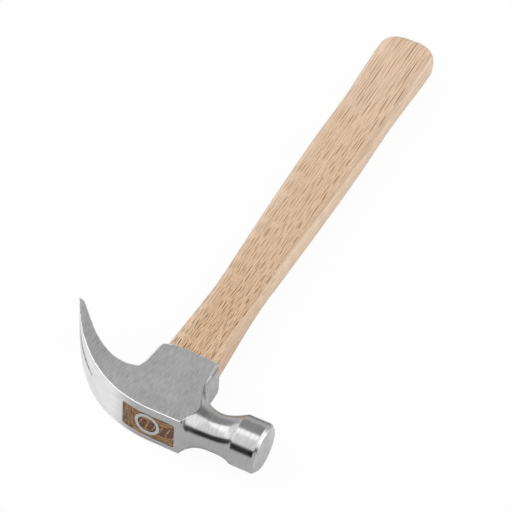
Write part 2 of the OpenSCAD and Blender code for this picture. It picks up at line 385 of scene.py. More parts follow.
@dataclass
class Skin:
    """A mesh in the making, in millimetres from the eye's middle on the crown."""

    points: Array
    faces: Array
    normals: Optional[Array] = None

    @classmethod
    def around(cls, field: Field, box: Box, pitch: Point) -> "Skin":
        """The skin of a solid that a field describes.

        Args:
            field: Distance to the solid's surface, negative inside.
            box: Lowest and highest corner of a box around the solid.
            pitch: The mesh's size along each axis.

        Returns:
            The skin, with its points and normals settled on the surface.
        """
        low, high = box
        axes = [np.arange(a, b + p, p, dtype=np.float32) for a, b, p in zip(low, high, pitch)]
        grid = field(axes[0][:, None, None], axes[1][None, :, None], axes[2][None, None, :])
        inside = grid < 0
        cells = tuple(n - 1 for n in grid.shape)
        total = np.zeros((math.prod(cells), 3))
        count = np.zeros(math.prod(cells))
        loops = []
        for axis in range(3):
            first, last = [slice(None)] * 3, [slice(None)] * 3
            first[axis], last[axis] = slice(0, -1), slice(1, None)
            before, after = grid[tuple(first)], grid[tuple(last)]
            crossed = inside[tuple(first)] != inside[tuple(last)]
            place = np.argwhere(crossed)
            cut = place.astype(float)
            cut[:, axis] += before[crossed] / (before[crossed] - after[crossed])
            a, b = [k for k in range(3) if k != axis]
            ring = []
            for da, db in ((-1, -1), (0, -1), (0, 0), (-1, 0)):
                cell = place.copy()
                cell[:, a] += da
                cell[:, b] += db
                ring.append(np.ravel_multi_index(tuple(cell.T), cells))
                np.add.at(total, ring[-1], cut)
                np.add.at(count, ring[-1], 1)
            ring = np.stack(ring, 1)
            turn = inside[tuple(first)][crossed] == (axis == 1)
            ring[turn] = ring[turn, ::-1]
            loops.append(ring)
        used = np.flatnonzero(count)
        number = np.full(len(count), -1)
        number[used] = np.arange(len(used))
        points = total[used] / count[used, None] * np.asarray(pitch) + np.asarray(low)
        skin = cls(points, number[np.concatenate(loops)])
        skin.settle(field, max(pitch))
        return skin

    def slope(self, field: Field, reach: float) -> Array:
        """The field's slope at each point.

        Args:
            field: Distance to the solid's surface, negative inside.
            reach: How far to each side the field is read.

        Returns:
            One row of three slopes for each point.
        """
        sides = []
        for axis in range(3):
            off = np.zeros(3)
            off[axis] = reach
            sides.append((field(*(self.points + off).T) - field(*(self.points - off).T)) / (2 * reach))
        return np.stack(sides, 1)

    def settle(
        self,
        field: Field,
        pitch: float,
        rounds: int = 2,
        reach: float = 0.04,
        normal_reach: float = 0.06,
        least_slope: float = 0.5,
    ) -> None:
        """Moves the points onto the surface and reads their normals there.

        Args:
            field: Distance to the solid's surface, negative inside.
            pitch: The most that a point may move in one round.
            rounds: How often the points are moved.
            reach: How far to each side the slope is read for a move.
            normal_reach: How far to each side it is read for a normal.
            least_slope: What a flatter slope counts as.
        """
        for _ in range(rounds):
            slope = self.slope(field, reach)
            size = np.maximum((slope**2).sum(1), least_slope**2)
            move = np.clip(field(*self.points.T) / size, -pitch, pitch)
            self.points = self.points - move[:, None] * slope
        slope = self.slope(field, normal_reach)
        self.normals = slope / np.maximum(np.linalg.norm(slope, axis=1), TINY)[:, None]

    @classmethod
    def over(cls, rings: Array) -> "Skin":
        """A closed skin over rings of equal numbers of points.

        Args:
            rings: Points as (ring, place on the ring, x y z).

        Returns:
            The skin, closed by a fan at each end.
        """
        rows, n, _ = rings.shape
        points = np.concatenate([rings.reshape(-1, 3), rings[:1].mean(1), rings[-1:].mean(1)])
        i = np.arange(n)
        j = (i + 1) % n
        faces = [np.stack([np.full(n, rows * n), i, j, j], 1)]
        for start in range(0, (rows - 1) * n, n):
            faces.append(np.stack([start + i, start + n + i, start + n + j, start + j], 1))
        last = (rows - 1) * n
        faces.append(np.stack([np.full(n, rows * n + 1), last + j, last + i, last + i], 1))
        return cls(points, np.concatenate(faces))

    def piece(self, name: str, place: "Place") -> bpy.types.Object:
        """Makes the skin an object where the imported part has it.

        Args:
            name: The object's name.
            place: Where the eye's middle on the crown is.

        Returns:
            The new object, linked to the scene.
        """
        mesh = bpy.data.meshes.new(name)
        faces = [list(dict.fromkeys(f)) for f in self.faces.tolist()]
        mesh.from_pydata((self.points * MM + place.origin).tolist(), [], faces)
        mesh.polygons.foreach_set("use_smooth", [True] * len(mesh.polygons))
        if self.normals is not None:
            mesh.normals_split_custom_set_from_vertices(self.normals.tolist())
        mesh.update()
        made = bpy.data.objects.new(name, mesh)
        bpy.context.scene.collection.objects.link(made)
        return made


@dataclass(frozen=True)
class Place:
    """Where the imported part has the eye's middle on the crown, in metres."""

    x: float
    y: float
    z: float

    @classmethod
    def read(cls) -> "Place":
        """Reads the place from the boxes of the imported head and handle.

        Returns:
            The place.
        """
        head_low, head_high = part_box("hammer_head")
        hand_low, hand_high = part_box("handle")
        return cls((hand_low.x + hand_high.x) / 2, head_low.y, (head_low.z + head_high.z) / 2)

    @property
    def origin(self) -> Array:
        """The place as three numbers."""
        return np.array([self.x, self.y, self.z])

    def millimetres(self, bench: Bench) -> tuple[Wire, Wire, Wire]:
        """The surface's own place in millimetres from here.

        Args:
            bench: The finish's node tree.

        Returns:
            Places towards the face, the butt and the near cheek.
        """
        here = bench.add("ShaderNodeTexCoord", None, None, "Object")
        moved = bench.vector("SUBTRACT", here, (self.x, self.y, self.z))
        return bench.parts(bench.vector("MULTIPLY", moved, (1 / MM,) * 3))


def new_material(name: str) -> tuple[bpy.types.Material, Bench]:
    """An empty material.

    Args:
        name: Its name.

    Returns:
        The material and its node tree.
    """
    made = bpy.data.materials.new(name)
    made.use_nodes = True
    return made, Bench(made.node_tree)


@dataclass(frozen=True)
class HeadSteel:
    """Forged steel: brushed cheeks, ground crown and claw, polished neck and poll.

    A span is a soft step: over a part of the normal where its name ends in turn, and else over a
    place in millimetres.
    """

    cheek: Colour = tone("C4C4C5")
    crown: Colour = tone("B6B6B7")
    edge: Colour = tone("F6F6F6")
    claw: Colour = tone("F4F4F4")
    polished: Colour = tone("B0B0B1")
    face: Colour = tone("C8C8C9")
    # Where the finishes are
    cheek_turn: Span = (0.93, 0.985)
    cheek_until: Span = (18.0, 17.4)
    crown_turn: Span = (-0.97, -0.99)
    crown_until: Span = (19.4, 17.4)
    neck_from: Span = (13.6, 14.1)
    face_from: Span = (45.7, 45.9)
    claw_from: Span = (-5.0, -19.0)
    edge_turn: Span = (0.12, 0.3)
    edge_beyond: Span = (8.4, 8.9)
    skirt_below: Span = (15.0, 18.0)
    skirt_from: Span = (12.0, 13.0)
    corner_turn: Span = (0.15, 0.4)
    corner_beyond: Span = (7.2, 8.2)
    slot_turn: Span = (0.5, 0.8)
    slot_within: Span = (4.4, 4.0)
    slot_from: Span = (-16.0, -17.0)
    tip_from: Span = (-20.0, -40.0)
    under_turn: Span = (0.0, 0.5)
    # The marks of the tools
    brushing: Noise = Noise((2.4, 0.25, 0.2))
    turning: Noise = Noise((3.4, 0.2, 0.2))
    grinding: Noise = Noise((0.16, 0.16, 2.6))
    clouding: Noise = Noise((0.13, 0.13, 0.13))
    # How strong the marks are, the cheek's darkening towards the tip, and painted highlight and shade on the
    # skirt and slot
    streaks: float = 0.3
    cheek_streaks: float = 0.5
    neck_streaks: float = 0.3
    clouds: float = 0.14
    cheek_clouds: float = 0.1
    tip_dark: float = 0.1
    skirt_painted_highlight: float = 0.14
    corner_painted_shade: float = 0.64
    slot_painted_shade: float = 0.6
    # Roughness, and what some places and the marks add to it
    cheek_rough: float = 0.42
    ground_rough: float = 0.4
    polish_rough: float = 0.2
    face_rougher: float = 0.12
    under_rougher: float = 0.15
    corner_rougher: float = 0.2
    streaks_rougher: float = 0.08
    clouds_rougher: float = 0.06
    bump: float = 0.2
    bump_deep: float = 0.02

    def material(self, place: Place) -> bpy.types.Material:
        """Wires the finish.

        Args:
            place: Where the eye's middle on the crown is.

        Returns:
            The material.
        """
        made, b = new_material("head_steel")
        x, y, z = place.millimetres(b)
        _, ny, nz = b.normal()
        aside, off = abs(nz), abs(z)
        cheek = b.step(aside, *self.cheek_turn) * b.step(x, *self.cheek_until)
        crown = b.step(ny, *self.crown_turn) * b.step(x, *self.crown_until)
        neck = b.step(x, *self.neck_from) * (1 - cheek) * (1 - crown)
        face = b.step(x, *self.face_from)
        edge = b.step(aside, *self.edge_turn) * b.step(off, *self.edge_beyond)
        # Painted highlight: the lower front of the skirt is made lighter.
        skirt = b.step(y, *self.skirt_below) * b.step(x, *self.skirt_from) * (1 - cheek)
        # Painted shade: the skirt's rounded front corners are made darker, to damp the lamp's reflection
        # there.
        corner = skirt * b.step(off, *self.corner_beyond) * b.step(aside, *self.corner_turn)
        # Painted shade: the nail slot's walls are made darker.
        slot = b.step(off, *self.slot_within) * b.step(aside, *self.slot_turn) * b.step(x, *self.slot_from)
        brushed = self.brushing.draw(b, x, y, z)
        turned = self.turning.draw(b, x, y, z)
        ground = self.grinding.draw(b, x, y, z)
        streak = brushed * cheek + (turned * neck + ground * (1 - neck)) * (1 - cheek) - NOISE_LEVEL
        cloud = self.clouding.draw(b, x, y, z) - NOISE_LEVEL
        back = b.mix(b.step(x, *self.claw_from), self.crown, self.claw)
        back = b.mix(edge, back, self.edge)
        polished = b.mix(face, self.polished, self.face)
        colour = b.mix(neck, b.mix(cheek, back, self.cheek), polished)
        shade = 1.0 + streak * (self.streaks + cheek * self.cheek_streaks + neck * self.neck_streaks)
        shade = shade + cloud * (self.clouds + cheek * self.cheek_clouds)
        shade = shade - cheek * b.step(x, *self.tip_from) * self.tip_dark
        shade = shade + skirt * self.skirt_painted_highlight - corner * self.corner_painted_shade - slot * self.slot_painted_shade
        under = b.step(ny, *self.under_turn)
        polish = self.polish_rough + face * self.face_rougher + under * self.under_rougher
        rough = (1 - cheek) * (neck * polish + (1 - neck) * self.ground_rough) + cheek * self.cheek_rough
        rough = rough + streak * self.streaks_rougher + cloud * self.clouds_rougher
        b.surface({
            "Base Color": b.shaded(colour, shade),
            "Metallic": 1.0,
            "Roughness": rough + corner * self.corner_rougher,
            "Normal": b.bump(streak, self.bump, self.bump_deep),
        })
        return made


@dataclass(frozen=True)
class Beech:
    """Sanded beech with its brown flecks, warmer and more marked next to the head.

    A span is a soft step: over a part of the normal where its name ends in turn, over the noise of
    the bands in band_edge, and else over a place in millimetres.
    """

    pale: Colour = tone("D0B49A")
    middle: Colour = tone("CAAC90")
    warm: Colour = tone("C09C79")
    band: Colour = tone("DAC2AA")
    painted_sheen: Colour = tone("E2CCB6")
    beside: Colour = tone("E4C7A7")
    dark_fleck: Colour = tone("6E4A28")
    soft_fleck: Colour = tone("70492B")
    # Where the wood changes along the handle and around it
    warm_until: Span = (115.0, 45.0)
    middle_until: Span = (215.0, 180.0)
    flank_turn: Span = (0.7, 0.85)
    under_turn: Span = (0.05, -0.05)
    # Shifts that give the other sides and the thin lines a pattern of their own
    under_shift: float = 31.0
    flank_shift: float = 47.0
    thin_shift: float = 50.6
    # The grain's patterns; the lines get longer towards the butt
    wave: Noise = Noise((0.07, 0.02), 1.0)
    fibre: Noise = Noise((1.5, 0.4), 2.0, 0.6, layer=5.0)
    pores: Noise = Noise((2.0, 0.8), 1.0, layer=15.0)
    bands: Noise = Noise((0.4, 0.012), layer=9.0)
    lines: Dashes = Dashes(apart=1.75, half=0.22)
    thin_lines: Dashes = Dashes(apart=1.3, half=0.18)
    lines_per_mm: float = 0.179
    lines_fewer: float = 0.0003
    thin_longer: float = 0.7
    wave_deep: float = 1.4
    # Painted sheen along both edges of the near side, with a painted shade line along the right one's inner
    # edge
    rim_at: float = 9.2
    rim_out: float = 2.0
    rim_wave: float = 1.2
    rim_grip: Span = (70.0, 190.0)
    right_grip: Span = (70.0, 170.0)
    right_edge: Span = (0.5, 1.1)
    shade_line_edge: Span = (0.9, 0.3)
    left_edge: Span = (4.0, -1.5)
    # How strong each mark is, and the painted sheen and painted shade line
    right_sheen: float = 0.75
    right_warm: float = 0.4
    left_sheen: float = 0.6
    band_edge: Span = (0.45, 0.75)
    band_pale: float = 0.45
    level: float = 0.94
    fibre_shade: float = 0.4
    pores_shade: float = 0.7
    painted_shade_line: float = 0.07
    beside_pale: float = 0.4
    thin_beside: float = 0.5
    thin_dark: float = 0.7
    right_fewer: float = 0.4
    near_head_more: float = 0.4
    # Gloss and relief
    roughness: float = 0.5
    marks_rougher: float = 0.1
    bands_rougher: float = 0.1
    gloss: float = 0.35
    bump: float = 0.3
    bump_deep: float = 0.05

    def sheen_rims(self, b: Bench, x: Wire, y: Wire, wave: Wire) -> tuple[Wire, Wire, Wire]:
        """Wires the painted sheen along both edges of the near side.

        Args:
            b: The finish's node tree.
            x: Place across the handle.
            y: Place along the handle.
            wave: How the grain sways here.

        Returns:
            How much painted sheen there is here on the left and on the right, and how much of the painted
            shade line along the right one's inner edge.
        """
        side = self.rim_at + self.rim_out * b.step(y, *self.rim_grip) - wave * self.rim_wave
        inside = x - side - b.step(y, *self.right_grip)
        left = b.step(x + side, *self.left_edge)
        return left, b.step(inside, *self.right_edge), b.step(abs(inside), *self.shade_line_edge)

    def material(self, place: Place) -> bpy.types.Material:
        """Wires the finish.

        Args:
            place: Where the eye's middle on the crown is.

        Returns:
            The material.
        """
        made, b = new_material("beech")
        x, y, z = place.millimetres(b)
        nx, _, nz = b.normal()
        near_head = b.step(y, *self.warm_until)
        face = x + b.step(nz, *self.under_turn) * self.under_shift
        across = face + (z + self.flank_shift - face) * b.step(abs(nx), *self.flank_turn)
        wave = self.wave.draw(b, across, y)
        grain = across + wave * self.wave_deep
        run = y * (self.lines_per_mm - self.lines_fewer * y)
        line, line_side = self.lines.draw(b, grain, run)
        thin, thin_side = self.thin_lines.draw(b, grain + self.thin_shift, run * self.thin_longer)
        fibre = self.fibre.draw(b, grain, run) - NOISE_LEVEL
        pores = self.pores.draw(b, grain, y) - NOISE_LEVEL
        bands = self.bands.draw(b, grain, y)
        # Painted sheen on the left and right edges of the near side, and a painted shade line beside the
        # right one.
        left, right, shade_line = self.sheen_rims(b, x, y, wave)
        ground = b.mix(b.step(y, *self.middle_until), self.pale, self.middle)
        ground = b.mix(near_head, ground, self.warm)
        ground = b.mix(b.step(bands, *self.band_edge) * self.band_pale, ground, self.band)
        # Painted sheen: the wood is made paler along both edges, less so on the right next to the head.
        painted_sheen = b.greater(right * (self.right_sheen - near_head * self.right_warm), left * self.left_sheen)
        ground = b.mix(painted_sheen, ground, self.painted_sheen)
        # The painted shade line darkens the wood along the right sheen's inner edge.
        shade = self.level + fibre * self.fibre_shade + pores * self.pores_shade - shade_line * self.painted_shade_line
        ground = b.shaded(ground, shade)
        beside = b.greater(line_side, thin_side * self.thin_beside)
        ground = b.mix(beside * self.beside_pale, ground, self.beside)
        marks = b.greater(line, thin * self.thin_dark)
        marks = marks * (1 - right * self.right_fewer) * (1 + near_head * self.near_head_more)
        fleck = b.mix(near_head, self.soft_fleck, self.dark_fleck)
        rough = self.roughness + marks * self.marks_rougher + (bands - NOISE_LEVEL) * self.bands_rougher
        b.surface({
            "Base Color": b.mix(marks, ground, fleck),
            "Roughness": rough,
            "Normal": b.bump(1 - marks, self.bump, self.bump_deep),
            "Specular IOR Level": self.gloss,
        })
        return made


@dataclass(frozen=True)
class EndGrain:
    """The sawn end of a piece of wood in the eye, with rays across its grain.

    The rays stand upright on the claw's side of the ring and slant on the poll's side.
    """

    name: str
    light: Colour
    dark: Colour
    ray: Colour
    left_light: Colour
    left_dark: Colour
    slant: float
    grain_slant: float
    ray_strength: float
    turn_at: Span = (-5.0, -6.5)
    # The fibres' ends and the pores between them
    fibre: Noise = Noise((0.22, 1.5, 0.1), 3.0, 0.6)
    upright_fibre: Noise = Noise((1.5, 0.22, 0.1), 3.0, 0.6)
    pores: Noise = Noise((2.6, 2.6, 0.2))
    pores_shade: float = 0.3
    fibre_edge: Span = (0.38, 0.62)
    # The rays, which wander a little and are broken in places
    ray_apart: float = 2.95
    ray_shift: float = -0.08
    ray_edge: Span = (0.12, 0.05)
    ray_wander: float = 0.4
    upright_apart: float = 1.2
    upright_edge: Span = (0.2, 0.08)
    upright_wander: float = 1.5
    upright_strength: float = 0.6
    wander: Noise = Noise((0.3, 0.12), 1.0, layer=2.0)
    breaks: Noise = Noise((0.7, 0.35), 1.0, layer=6.0)
    break_edge: Span = (0.4, 0.55)
    broken: Span = (0.3, 1.0)
    # Gloss and relief
    roughness: float = 0.6
    gloss: float = 0.3
    bump: float = 0.3
    bump_deep: float = 0.05

    @staticmethod
    def turned(x: Wire, z: Wire, angle: float) -> tuple[Wire, Wire]:
        """Places along and across a direction on the crown."""
        c, s = math.cos(angle), math.sin(angle)
        return x * c + z * s, z * c - x * s

    def rays(self, b: Bench, x: Wire, z: Wire, left: Wire) -> Wire:
        """Wires the rays.

        Args:
            b: The finish's node tree.
            x: Place along the eye.
            z: Place across the eye.
            left: 1 on the claw's side of the ring and 0 on the poll's side.

        Returns:
            How much of a ray there is here.
        """
        along, over = self.turned(x, z, self.slant)
        wander = self.wander.draw(b, over, along) - NOISE_LEVEL
        slanted = over / self.ray_apart + wander * self.ray_wander + self.ray_shift
        slanted = b.step(b.from_whole(slanted), *self.ray_edge)
        upright = x / self.upright_apart + wander * self.upright_wander
        upright = b.step(b.from_whole(upright), *self.upright_edge)
        rays = slanted * (1 - left) + upright * self.upright_strength * left
        return rays * between(self.broken, b.step(self.breaks.draw(b, over, along), *self.break_edge))

    def material(self, place: Place) -> bpy.types.Material:
        """Wires the finish.

        Args:
            place: Where the eye's middle on the crown is.

        Returns:
            The material.
        """
        made, b = new_material(self.name)
        x, y, z = place.millimetres(b)
        left = b.step(x, *self.turn_at)
        grain_along, grain_over = self.turned(x, z, self.grain_slant)
        pores = self.pores.draw(b, x, z, y)
        pitted = (pores - NOISE_LEVEL) * self.pores_shade
        slanted = b.step(self.fibre.draw(b, grain_along, grain_over, y) + pitted, *self.fibre_edge)
        upright = b.step(self.upright_fibre.draw(b, x, z, y) + pitted, *self.fibre_edge)
        right_ground = b.mix(slanted, self.dark, self.light)
        left_ground = b.mix(upright, self.left_dark, self.left_light)
        ground = b.mix(left, right_ground, left_ground)
        b.surface({
            "Base Color": b.mix(self.rays(b, x, z, left) * self.ray_strength, ground, self.ray),
            "Roughness": self.roughness,
            "Normal": b.bump(pores, self.bump, self.bump_deep),
            "Specular IOR Level": self.gloss,
        })
        return made


@dataclass(frozen=True)
class RingSteel:
    """Steel tube, ground level with the crown."""

    dark: Colour = tone("AEAEAF")
    light: Colour = tone("D3D3D3")
    grinding: Noise = Noise((0.4, 0.3, 3.0), 3.0, 0.6)
    roughness: float = 0.4
    marks_rougher: float = 0.15
    bump: float = 0.2
    bump_deep: float = 0.02

    def material(self, place: Place) -> bpy.types.Material:
        """Wires the finish.

        Args:
            place: Where the eye's middle on the crown is.

        Returns:
            The material.
        """
        made, b = new_material("ring_steel")
        ground = self.grinding.draw(b, *place.millimetres(b))
        b.surface({
            "Base Color": b.mix(ground, self.dark, self.light),
            "Metallic": 1.0,
            "Roughness": self.roughness + (ground - NOISE_LEVEL) * self.marks_rougher,
            "Normal": b.bump(ground, self.bump, self.bump_deep),
        })
        return made


@dataclass
class HammerHead:
    """The forged head. Sizes are in millimetres from the eye's middle on the crown.

    A pull leads from a curve's end to the control point next to it.
    """

    # Cheeks and skirt
    cheek: float = 10.1
    cheek_front: float = 13.0
    body_tall: float = 34.5
    skirt_front: float = 14.9
    skirt_back: float = 11.9
    skirt_lean: float = math.radians(6.5)
    skirt_edge: float = 1.6
    skirt_corner: float = 2.2
    skirt_corner_from: float = 82.0
    back_corner: float = 3.4
    back_corner_to: float = 92.0
    back_longer: float = 0.35
    skirt_bow: float = 0.6
    bow_past: float = 0.1
    bow_start: Span = (-5.0, 0.5)
    bow_middle: Span = (-2.0, 3.0)
    bow_end: Span = (8.0, 0.4)
    front_side_pull: Span = (1.5, -2.1)
    front_middle_pull: float = 4.04
    front_run_out: Span = (-0.75, 1.05)
    # Neck and poll
    poll_below: float = 11.1
    poll_r: float = 10.55
    poll_len: float = 11.0
    poll_back_pull: Span = (-3.0, -1.7)
    face_reach: float = 46.2
    face_edge: float = 1.5
    neck_r: float = 7.9
    neck_reach: float = 24.8
    neck_below: float = 9.6
    neck_pulls: Span = (-5.0, 4.0)
    flare_from: float = 13.3
    flare_root: float = 18.7
    flare_pull: float = 8.0
    flare_len: float = 4.5
    turned_from: float = 2.0
    # Claws and nail slot
    claw_reach: float = 53.3
    claw_drop: float = 38.6
    claw_slope: float = math.radians(60)
    claw_back_pull: float = 25.5
    crown_flat: float = 2.0
    crown_short: float = 1.1
    tip_half: float = 9.05
    tip_taper: float = 0.3
    tip_cut: float = 2.7
    tip_way: Span = (0.95, -0.31)
    tip_past: float = 4.0
    inner_pull: Span = (4.9, -3.3)
    throat_pull: Span = (-16.3, -6.9)
    throat_below: float = 17.7
    throat_gap: float = 1.95
    throat_foot: float = 1.0
    claw_bulge: float = 2.3
    bulge_at: float = 0.74
    bulge_root: float = 1.0
    claw_root: float = 1.7
    slot_len: float = 34.5
    slot_wide: float = 6.4
    slot_root: float = 0.8
    slot_until: float = -17.0
    slot_aim: int = 3
    slot_aim_steps: int = 7
    # Eye
    eye_len: float = 23.9
    eye_wide: float = 13.6
    eye_off: Span = (-0.45, -1.0)
    eye_len_drop: float = 3.3
    eye_wide_drop: float = 1.8
    eye_waist: float = 18.0
    eye_corner: float = 1.0
    # Rounded edges, and where they change from one to another
    edge: float = 0.3
    crown_edge: float = 0.32
    tip_edge: float = 0.05
    tip_edge_from: float = -36.0
    tip_edge_over: float = 10.0
    mouth_edge: float = 0.15
    slot_edge: float = 0.06
    fillet: float = 0.9
    skirt_edge_over: float = 4.0
    skirt_edge_from: float = -6.0
    skirt_edge_blend: float = 3.0
    skirt_edge_until: float = -20.0
    # The mesh, and room around what is cut
    pitch: float = 0.36
    claw_room: Point = (1.3, 1.1, 12.0)
    face_room: Point = (1.2, 1.2, 12.0)
    over_crown: float = 5.0
    past_poll: float = 14.0
    past_poll_over: float = 1.0
    past_cheek: float = 20.0
    past_axis: float = 1.0
    front_from: float = 8.0
    neck_read_from: float = 1.5
    far: float = 60.0

    def __post_init__(self) -> None:
        """Draws the outlines that the head's field is made of."""
        tip = np.array([-self.claw_reach, self.claw_drop])
        pull = self.claw_back_pull * np.array([math.cos(self.claw_slope), -math.sin(self.claw_slope)])
        back = [(self.crown_flat, 0), (self.crown_short - self.claw_reach / 2, 0), tip + pull, tip]
        self.crown = np.concatenate([
            [(self.far, 0)],
            cubic(back, steps=40),
            [(-self.far, 2 * self.far), (self.far, 2 * self.far)],
        ])
        self.side = self._side(tip)
        self.sides = self._sides()
        self.front = self._front()
        self.turned = self._turned()
        aim = cubic(back, steps=self.slot_aim_steps)[self.slot_aim] - tip
        self.slot_way = aim / np.linalg.norm(aim)
        self.slot_tip = tip

    def _side(self, tip: Array) -> Array:
        """The head's outline on the cheek, apart from the crown and the neck.

        Args:
            tip: The claw's tip, seen on the cheek.

        Returns:
            The outline's corners, one to a row.
        """
        inner = tip + self.tip_cut * np.array(self.tip_way)
        throat = np.array([-self.skirt_back - self.throat_gap, self.throat_below])
        low = self.body_tall - self.skirt_bow
        sine, cosine = math.sin(self.skirt_lean), math.cos(self.skirt_lean)
        foot_y = self.throat_below + self.throat_foot
        foot_x = -self.skirt_back - (low - foot_y) * sine / cosine
        r, back_r = self.skirt_corner, self.back_corner
        front = self.skirt_front + self.edge
        back_y = low + self.back_longer - back_r
        back_x = -self.skirt_back - (low - back_y - back_r * sine) * sine / cosine + back_r * cosine
        bow = [
            (self.bow_start[0], low + self.bow_start[1]),
            (self.bow_middle[0], self.body_tall + self.bow_past),
            (self.bow_middle[1], self.body_tall + self.bow_past),
            (self.bow_end[0], low + self.bow_end[1]),
        ]
        return np.concatenate([
            [(front, -self.over_crown), (-self.far, -self.over_crown), tip + self.tip_past * (tip - inner)],
            cubic([inner, inner + self.inner_pull, throat + self.throat_pull, throat], steps=30),
            [(foot_x, foot_y)],
            arc((back_x, back_y), back_r, 180 - math.degrees(self.skirt_lean), self.back_corner_to),
            cubic(bow, steps=8),
            arc((front - r, low - r), r, self.skirt_corner_from, 0),
        ])

    def _sides(self) -> Array:
        """The claws and cheeks from above, let out around the poll.

        Returns:
            The outline's corners, one to a row.
        """
        bulge = [
            (-self.claw_reach, self.tip_half),
            (-self.claw_reach * self.bulge_at, self.cheek + self.claw_bulge),
            (self.bulge_root - self.claw_reach / 2, self.cheek),
            (-self.skirt_back - self.claw_root, self.cheek),
        ]
        poll = [
            (self.neck_reach, self.cheek),
            (self.neck_reach + self.past_poll_over, self.past_poll),
            (self.far, self.past_poll),
        ]
        return mirrored(np.concatenate([
            [(-self.far, self.tip_half - self.tip_taper)],
            cubic(bulge, steps=24),
            poll,
        ]))

    def _front(self) -> Array:
        """The skirt's rounded front from above.

        Returns:
            The outline's corners, one to a row.
        """
        side = np.array([self.cheek_front, self.cheek])
        middle = np.array([self.skirt_front, 0])
        bend = [side, side + self.front_side_pull, middle + (0, self.front_middle_pull), middle]
        return mirrored(np.concatenate([
            [(-self.far, self.past_cheek), (self.front_from, self.past_cheek), side + self.front_run_out],
            cubic(bend, steps=14),
        ]))

    def _turned(self) -> Array:
        """Neck and poll as turned.

        Returns:
            The outline's corners, one to a row: distance along, and radius.
        """
        waist = np.array([self.neck_reach, self.neck_r])
        back = np.array([self.face_reach - self.poll_len, self.poll_r])
        neck = [
            (self.flare_from, self.flare_root),
            (self.flare_from, self.flare_root - self.flare_pull),
            waist + (self.neck_pulls[0], 0),
            waist,
        ]
        cone = [waist, waist + (self.neck_pulls[1], 0), back + self.poll_back_pull, back]
        return np.concatenate([
            [(self.turned_from, -self.past_axis), (self.turned_from, self.flare_root)],
            cubic(neck, steps=22),
            cubic(cone, steps=16)[1:],
            [(self.face_reach - self.face_edge, self.poll_r)],
            [(self.face_reach, self.poll_r - self.face_edge), (self.face_reach, -self.past_axis)],
        ])

    def neck_middle(self, x: Array) -> Array:
        """How far below the crown the neck's middle is.

        Args:
            x: Places along the neck.

        Returns:
            The middle at each place.
        """
        back = self.face_reach - self.poll_len
        rise = ease((x - self.cheek_front) / self.flare_len)
        fall = 1 - ease((x - self.neck_reach) / (back - self.neck_reach))
        lift = np.where(x < self.neck_reach, rise, fall)
        return self.poll_below + (self.neck_below - self.poll_below) * lift

    def neck(self, x: Array, y: Array, z: Array) -> Array:
        """Distance to the neck and poll, before the cheeks and crown cut them.

        Args:
            x: Places towards the face.
            y: Places below the crown.
            z: Places towards the near cheek.

        Returns:
            The distance at each place, negative inside.
        """
        shape = np.broadcast_shapes(x.shape, y.shape, z.shape)
        out = np.full(shape, self.far, np.float32)
        near = np.flatnonzero(x.reshape(len(x), -1)[:, 0] > self.neck_read_from)
        x, y, z = (v[near] if len(v) == shape[0] else v for v in (x, y, z))
        out[near] = depth(self.turned, x, np.hypot(y - self.neck_middle(x), z))
        return out

    def eye(self, x: Array, y: Array, z: Array, trim: float = 0.0) -> Array:
        """Distance to the eye's hollow.

        Args:
            x: Places towards the face.
            y: Places below the crown.
            z: Places towards the near cheek.
            trim: How much smaller the hollow is taken all round.

        Returns:
            The distance at each place, negative inside.
        """
        share = np.clip(y / self.eye_waist, 0, 1)
        off_x, off_z = self.eye_off
        long = self.eye_len - self.eye_len_drop * share
        wide = self.eye_wide - self.eye_wide_drop * share
        u = np.abs(x - off_x * (1 - share)) - long / 2 + self.eye_corner
        v = np.abs(z - off_z * (1 - share)) - wide / 2 + self.eye_corner
        away = np.hypot(np.maximum(u, 0), np.maximum(v, 0))
        return away + np.minimum(np.maximum(u, v), 0) - self.eye_corner + trim

    def slot(self, x: Array, y: Array, z: Array) -> Array:
        """Distance to the nail slot's hollow.

        Args:
            x: Places towards the face.
            y: Places below the crown.
            z: Places towards the near cheek.

        Returns:
            The distance at each place, negative inside.
        """
        along = (x - self.slot_tip[0]) * self.slot_way[0] + (y - self.slot_tip[1]) * self.slot_way[1]
        taper = (self.slot_wide - self.slot_root) / 2 / self.slot_len
        wide = np.abs(z) - self.slot_root / 2 - (self.slot_len - along) * taper
        end = np.hypot(np.maximum(along - self.slot_len, 0), z) - self.slot_root / 2
        hollow = np.where(along < self.slot_len, wide / math.hypot(1, taper), end)
        return np.maximum(hollow, x - self.slot_until)

    def under_crown(self, x: Array, y: Array) -> Array:
        """Distance to the crown and the claw's back."""
        return depth(self.crown, x, y)

    def field(self, x: Array, y: Array, z: Array) -> Array:
        """Distance to the head's surface.

        Args:
            x: Places towards the face.
            y: Places below the crown.
            z: Places towards the near cheek.

        Returns:
            The distance at each place, negative inside the steel.
        """
        body = both(depth(self.side, x, y), depth(self.front, x, z), self.edge)
        body = either(body, self.neck(x, y, z), self.fillet)
        near_tip = ease((self.tip_edge_from - x) / self.tip_edge_over)
        edge = self.edge + (self.tip_edge - self.edge) * near_tip
        limits = both(self.under_crown(x, y), depth(self.sides, x, z), edge * self.crown_edge / self.edge)
        on_skirt = ease((y - self.throat_below) / self.skirt_edge_over)
        on_skirt = on_skirt * ease((self.skirt_edge_from - x) / self.skirt_edge_blend)
        on_skirt = on_skirt * (x > self.skirt_edge_until)
        head = both(body, limits, edge + (self.skirt_edge - edge) * on_skirt)
        head = both(head, -self.eye(x, y, z), self.mouth_edge)
        return both(head, -self.slot(x, y, z), self.slot_edge)

